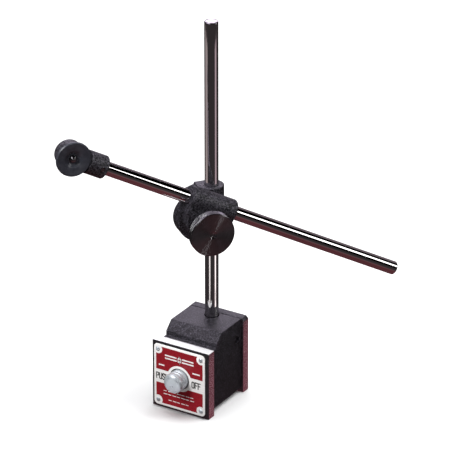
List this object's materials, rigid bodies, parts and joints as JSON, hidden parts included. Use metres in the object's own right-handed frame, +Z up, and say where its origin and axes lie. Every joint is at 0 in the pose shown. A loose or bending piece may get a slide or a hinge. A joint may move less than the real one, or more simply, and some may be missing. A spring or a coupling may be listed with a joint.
{
  "type": "magnetic base indicator holder",
  "caption": "Push-button magnetic base with an upright post, a swivel clamp, a sliding cross rod and a rod-end snug with its own clamping knob.",
  "frame": {"origin": "on the bench, under the middle of the whole stand's bounding box", "axes": "+Z up along the post; the base's OFF button faces -Y"},
  "size_m": [0.1588, 0.2002, 0.274],
  "materials": {
    "ground_steel": "ground",
    "polished_steel": "polished",
    "black_crackle": "crackle paint",
    "blacked_steel": "blacked and turned",
    "zinc_plate": "bright plated",
    "red_label": "printed",
    "brass": "machined",
    "magnet": "plain",
    "cover_plastic": "matte"
  },
  "bodies": {
    "base": {"front_pole_plate": "ground_steel", "rear_pole_plate": "ground_steel", "housing": "black_crackle", "bottom_cover": "cover_plastic", "tie_bolt_1": "blacked_steel", "tie_bolt_2": "blacked_steel", "tie_bolt_3": "blacked_steel", "tie_bolt_4": "blacked_steel", "post_set_screw": "blacked_steel", "front_bush": "brass", "rear_bush": "brass", "front_label": "red_label", "rear_label": "red_label", "front_label_screw_1": "zinc_plate", "front_label_screw_2": "zinc_plate", "front_label_screw_3": "zinc_plate", "front_label_screw_4": "zinc_plate", "rear_label_screw_1": "zinc_plate", "rear_label_screw_2": "zinc_plate", "rear_label_screw_3": "zinc_plate", "rear_label_screw_4": "zinc_plate"},
    "push_unit": {"push_rod": "ground_steel", "off_button": "zinc_plate", "on_button": "zinc_plate", "front_keeper": "ground_steel", "rear_keeper": "ground_steel", "left_magnet": "magnet", "right_magnet": "magnet"},
    "post": {"post": "polished_steel"},
    "post_clamp": {"post_clamp_body": "black_crackle", "post_clamp_plug": "brass", "clamp_stud": "blacked_steel"},
    "rod_clamp": {"rod_clamp_body": "black_crackle", "rod_clamp_plug": "brass"},
    "clamp_knob": {"clamp_knob": "blacked_steel", "clamp_washer": "zinc_plate"},
    "cross_rod": {"cross_rod": "polished_steel"},
    "snug": {"snug_body": "black_crackle", "snug_set_screw": "blacked_steel"},
    "snug_swivel": {"snug_bolt": "blacked_steel"},
    "snug_knob": {"snug_knob": "blacked_steel", "snug_washer": "zinc_plate"}
  },
  "joints": [
    {"name": "push_slide", "type": "slide", "parent": "base", "child": "push_unit", "axis": [0, 1, 0], "range_m": [0, 0.005]},
    {"name": "post_turn", "type": "hinge", "parent": "base", "child": "post", "pos_m": [-0.0171, 0.007, 0.06], "axis": [0, 0, 1], "continuous": true},
    {"name": "clamp_lift", "type": "slide", "parent": "post", "child": "post_clamp", "axis": [0, 0, 1], "range_m": [-0.058, 0.118]},
    {"name": "arm_pivot", "type": "hinge", "parent": "post_clamp", "child": "rod_clamp", "pos_m": [-0.02547, -0.00372, 0.1373], "axis": [0.788, -0.6157, 0], "range_deg": [-35, 80]},
    {"name": "clamp_knob_turn", "type": "hinge", "parent": "post_clamp", "child": "clamp_knob", "pos_m": [-0.02547, -0.00372, 0.1373], "axis": [0.788, -0.6157, 0], "continuous": true},
    {"name": "rod_slide", "type": "slide", "parent": "rod_clamp", "child": "cross_rod", "axis": [0.5461, 0.699, -0.4617], "range_m": [-0.125, 0.06]},
    {"name": "snug_turn", "type": "hinge", "parent": "cross_rod", "child": "snug", "pos_m": [-0.06767, -0.08648, 0.20011], "axis": [0.5461, 0.699, -0.4617], "continuous": true},
    {"name": "stem_swivel", "type": "hinge", "parent": "snug", "child": "snug_swivel", "pos_m": [-0.06767, -0.08648, 0.20011], "axis": [0.788, -0.6157, 0], "continuous": true},
    {"name": "snug_knob_turn", "type": "hinge", "parent": "snug_swivel", "child": "snug_knob", "pos_m": [-0.06767, -0.08648, 0.20011], "axis": [0.788, -0.6157, 0], "continuous": true}
  ]
}
